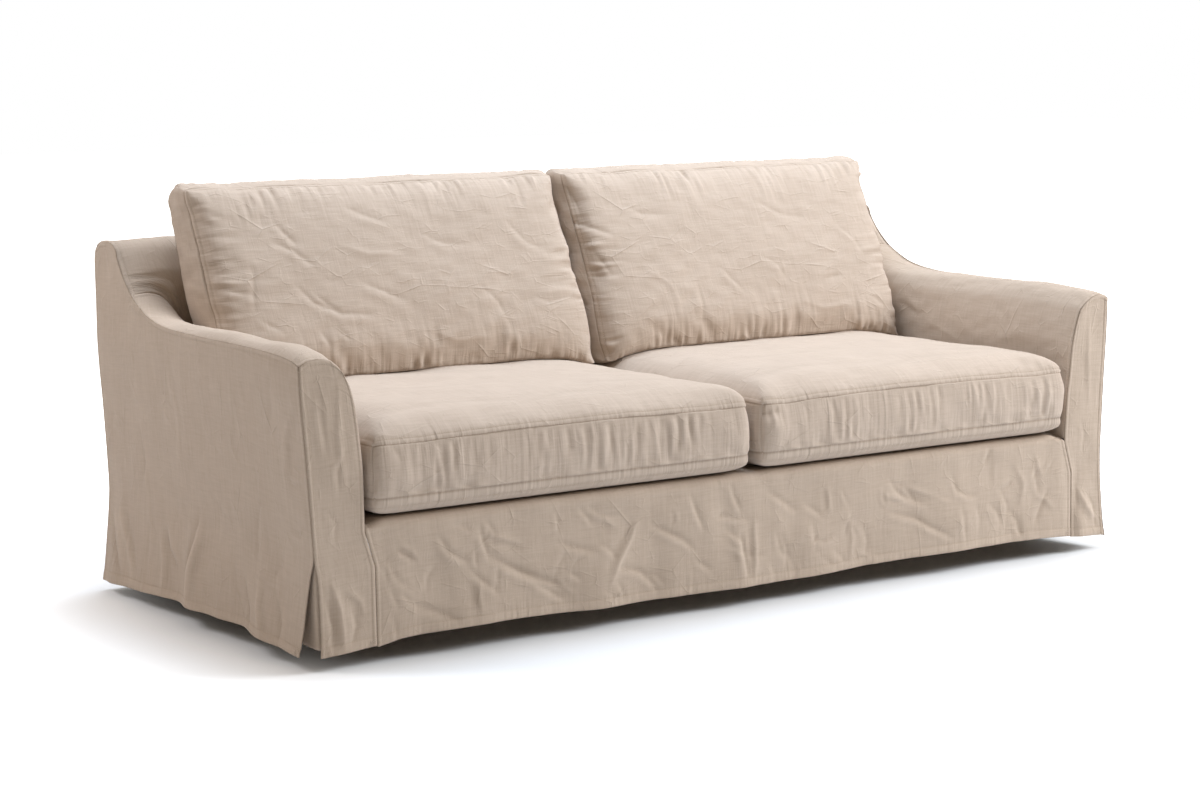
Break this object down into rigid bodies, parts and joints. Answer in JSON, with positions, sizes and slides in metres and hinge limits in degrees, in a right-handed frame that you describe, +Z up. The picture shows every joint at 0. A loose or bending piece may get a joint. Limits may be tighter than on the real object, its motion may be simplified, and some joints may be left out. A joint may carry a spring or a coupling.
{
  "type": "fitted sofa slipcover",
  "caption": "Loose linen cover for a sofa with sloping arms: sewn panels over back, arms and platform, a slit skirt, and covered seat and back cushions.",
  "frame": {"origin": "the underside of the cloth on the highest line of the back's rolled top, at mid-width", "axes": "+X to the right seen from the front, +Y to the back, +Z up; the floor is at Z -0.816 m"},
  "size_m": [2.2012, 1.0872, 0.915],
  "materials": {
    "linen_cover": "washed slub linen, matte, softly creased",
    "linen_cushions": "the same washed slub linen over soft fillings, matte",
    "deck_cloth": "plain flat cloth under the cushions, matte"
  },
  "bodies": {
    "root": {"outside_arm_left": "linen_cover", "outside_arm_right": "linen_cover", "arm_front_left": "linen_cover", "arm_front_right": "linen_cover", "inside_arm_left": "linen_cover", "inside_arm_right": "linen_cover", "inside_back": "linen_cover", "outside_back": "linen_cover", "front_apron": "linen_cover", "seat_deck": "deck_cloth", "slit_insert_front_left": "linen_cover", "slit_insert_front_right": "linen_cover", "slit_insert_rear_left": "linen_cover", "slit_insert_rear_right": "linen_cover", "seat_cushion_left": "linen_cushions", "seat_cushion_right": "linen_cushions", "back_cushion_left": "linen_cushions", "back_cushion_right": "linen_cushions"}
  },
  "joints": []
}
